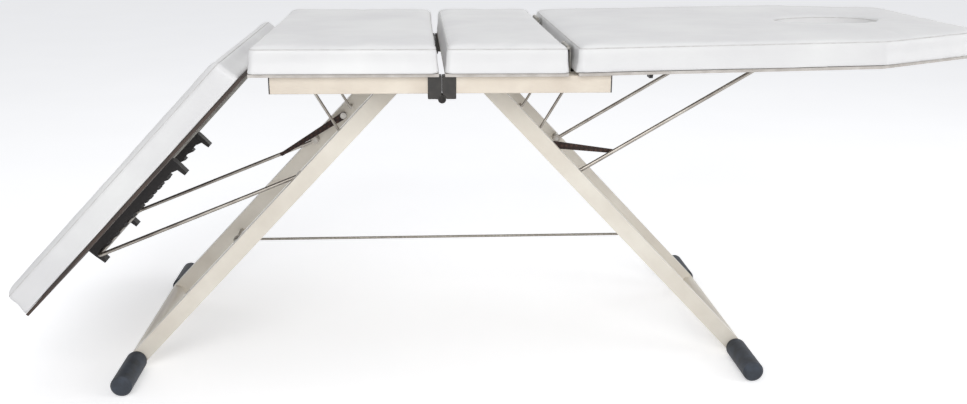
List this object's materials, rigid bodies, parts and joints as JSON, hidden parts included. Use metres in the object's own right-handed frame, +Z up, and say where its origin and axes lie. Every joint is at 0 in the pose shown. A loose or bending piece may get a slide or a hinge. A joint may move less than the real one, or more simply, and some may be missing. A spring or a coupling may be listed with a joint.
{
  "type": "folding massage table",
  "caption": "Folding treatment table with padded sections, a drop leg rest, a raising back with a face hole, and two splayed pairs of folding legs on a steel frame.",
  "frame": {"origin": "centre of the bounding box on the floor, under the open table", "axes": "+X along the table towards the head end, +Y towards the far side, +Z up"},
  "size_m": [1.6347, 0.6, 0.6042],
  "materials": {
    "vinyl": "smooth soft vinyl",
    "board": "plain plywood",
    "frame_paint": "satin cream enamel",
    "leg_paint": "satin cream enamel",
    "wire": "plain drawn wire",
    "pin": "plain turned steel",
    "hinge_plate": "plain zinc plate",
    "block": "moulded",
    "rack": "moulded",
    "plug": "moulded",
    "rubber": "matte rubber",
    "elastic": "woven elastic",
    "cable": "twisted steel cable"
  },
  "bodies": {
    "foot_frame": {"foot_rail_far": "frame_paint", "foot_rail_near": "frame_paint", "foot_rail_plugs": "plug", "foot_cross_tube": "frame_paint", "foot_cross_strip": "frame_paint", "foot_stay_hooks": "frame_paint", "foot_leg_axle": "pin", "foot_hinge_block_far": "block", "foot_hinge_block_near": "block", "centre_hinge_pins": "pin", "seat_pad": "vinyl", "seat_board": "board", "seat_leaves": "hinge_plate", "leg_rest_pins": "pin"},
    "head_frame": {"head_rail_far": "frame_paint", "head_rail_near": "frame_paint", "head_rail_plugs": "plug", "head_cross_tube": "frame_paint", "head_cross_strip": "frame_paint", "head_stay_hooks": "frame_paint", "head_leg_axle": "pin", "head_hinge_block_far": "block", "head_hinge_block_near": "block", "thigh_pad": "vinyl", "thigh_board": "board", "thigh_leaves": "hinge_plate", "back_pins": "pin"},
    "foot_legs": {"foot_leg_far": "leg_paint", "foot_leg_near": "leg_paint", "foot_cap_far": "rubber", "foot_cap_near": "rubber", "foot_leg_sleeve": "leg_paint", "foot_spread_rod": "pin", "foot_strap_stud": "pin", "foot_prop_pins": "pin"},
    "head_legs": {"head_leg_far": "leg_paint", "head_leg_near": "leg_paint", "head_cap_far": "rubber", "head_cap_near": "rubber", "head_leg_sleeve": "leg_paint", "head_spread_rod": "pin"},
    "leg_rest": {"leg_rest_pad": "vinyl", "leg_rest_board": "board", "leg_rack_near": "rack", "leg_rack_far": "rack", "leg_rest_straps": "hinge_plate"},
    "back": {"back_pad": "vinyl", "back_board": "board", "back_rack_near": "rack", "back_rack_far": "rack", "back_leaves": "hinge_plate"},
    "leg_prop": {"leg_prop": "wire"},
    "back_prop_pins": {"head_prop_pins": "pin"},
    "back_prop": {"back_prop": "wire"},
    "foot_stay": {"foot_stay": "wire"},
    "head_stay": {"head_stay": "wire"},
    "spread_cable": {"spread_cable": "cable"},
    "foot_strap": {"foot_strap": "elastic"},
    "head_strap_stud": {"head_strap_stud": "pin"},
    "head_strap": {"head_strap": "elastic"}
  },
  "joints": [
    {"name": "centre_fold", "type": "hinge", "parent": "foot_frame", "child": "head_frame", "pos_m": [-0.10547, 0, 0.504], "axis": [0, 1, 0], "range_deg": [0, 180]},
    {"name": "back_raise", "type": "hinge", "parent": "head_frame", "child": "back", "pos_m": [0.10053, 0, 0.58], "axis": [0, -1, 0], "range_deg": [0, 50]},
    {"name": "foot_leg_fold", "type": "hinge", "parent": "foot_frame", "child": "foot_legs", "pos_m": [-0.17147, 0, 0.5225], "axis": [0, 1, 0], "range_deg": [0, 46.62]},
    {"name": "head_leg_fold", "type": "hinge", "parent": "head_frame", "child": "head_legs", "pos_m": [-0.03947, 0, 0.5225], "axis": [0, -1, 0], "range_deg": [0, 46.62]},
    {"name": "leg_rest_lift", "type": "hinge", "parent": "foot_frame", "child": "leg_rest", "pos_m": [-0.41297, 0, 0.541], "axis": [0, 1, 0], "range_deg": [0, 46.52]},
    {"name": "leg_prop_swing", "type": "hinge", "parent": "foot_legs", "child": "leg_prop", "pos_m": [-0.3497, 0, 0.34421], "axis": [0, -1, 0], "range_deg": [0, 26.73]},
    {"name": "back_prop_turn", "type": "hinge", "parent": "head_legs", "child": "back_prop_pins", "pos_m": [0.13876, 0, 0.34421], "axis": [0, 1, 0], "range_deg": [0, 79.01]},
    {"name": "back_prop_swing", "type": "hinge", "parent": "back_prop_pins", "child": "back_prop", "pos_m": [0.13876, 0, 0.34421], "axis": [0, -1, 0], "range_deg": [0, 39.81]},
    {"name": "foot_stay_swing", "type": "hinge", "parent": "foot_legs", "child": "foot_stay", "pos_m": [-0.27625, 0, 0.4117], "axis": [0, -1, 0], "range_deg": [0, 105.94]},
    {"name": "head_stay_swing", "type": "hinge", "parent": "head_legs", "child": "head_stay", "pos_m": [0.06531, 0, 0.4117], "axis": [0, 1, 0], "range_deg": [0, 105.94]},
    {"name": "cable_swing", "type": "hinge", "parent": "foot_legs", "child": "spread_cable", "pos_m": [-0.50912, 0, 0.15089], "axis": [0, 1, 0], "range_deg": [0, 43.42], "deforming": ["spread_cable"]},
    {"name": "foot_strap_swing", "type": "hinge", "parent": "foot_legs", "child": "foot_strap", "pos_m": [-0.29171, 0, 0.39535], "axis": [0, -1, 0], "range_deg": [0, 12.89]},
    {"name": "head_strap_turn", "type": "hinge", "parent": "head_legs", "child": "head_strap_stud", "pos_m": [0.08077, 0, 0.39535], "axis": [0, 1, 0], "range_deg": [0, 37.91]},
    {"name": "head_strap_swing", "type": "hinge", "parent": "head_strap_stud", "child": "head_strap", "pos_m": [0.08077, 0, 0.39535], "axis": [0, -1, 0], "range_deg": [0, 18.39], "deforming": ["head_strap"]}
  ],
  "couplings": [
    {"joint": "foot_leg_fold", "follows": "centre_fold", "ratio": 0.25889},
    {"joint": "head_leg_fold", "follows": "centre_fold", "ratio": 0.25889},
    {"joint": "leg_rest_lift", "follows": "centre_fold", "ratio": 0.25833},
    {"joint": "leg_prop_swing", "follows": "centre_fold", "ratio": 0.14838},
    {"joint": "back_prop_turn", "follows": "centre_fold", "ratio": 0.43885},
    {"joint": "back_prop_swing", "follows": "back_raise", "ratio": 0.7958},
    {"joint": "foot_stay_swing", "follows": "centre_fold", "ratio": 0.58845},
    {"joint": "head_stay_swing", "follows": "centre_fold", "ratio": 0.58845},
    {"joint": "cable_swing", "follows": "centre_fold", "ratio": 0.24111},
    {"joint": "foot_strap_swing", "follows": "centre_fold", "ratio": 0.071526},
    {"joint": "head_strap_turn", "follows": "centre_fold", "ratio": 0.2105},
    {"joint": "head_strap_swing", "follows": "back_raise", "ratio": 0.36735}
  ]
}
